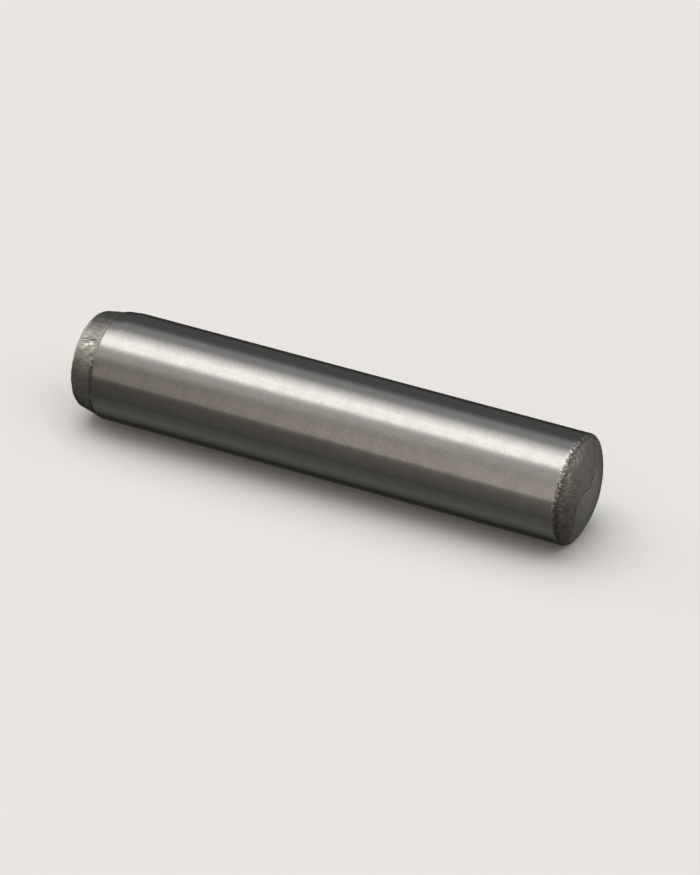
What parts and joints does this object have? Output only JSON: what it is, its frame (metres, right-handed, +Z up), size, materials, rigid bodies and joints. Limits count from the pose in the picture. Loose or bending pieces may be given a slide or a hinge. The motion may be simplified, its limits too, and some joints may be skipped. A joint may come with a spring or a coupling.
{
  "type": "dowel pin",
  "caption": "Solid steel dowel pin: a ground cylinder with a domed head end and a tapered, rounded lead end, pressed into reamed holes to hold two parts in line.",
  "frame": {"origin": "on the pin's axis, half way along its overall length", "axes": "+X along the axis towards the domed end, so the tapered lead end points to -X; +Z up with the pin lying on its side"},
  "size_m": [0.05, 0.01, 0.01],
  "materials": {
    "steel": "hardened steel: shank ground bright with a satin sheen, tapered lead end tumbled to a dull grey, domed end left matte and grey-brown as formed, with a rough rim"
  },
  "bodies": {
    "root": {"dowel_pin": "steel"}
  },
  "joints": []
}
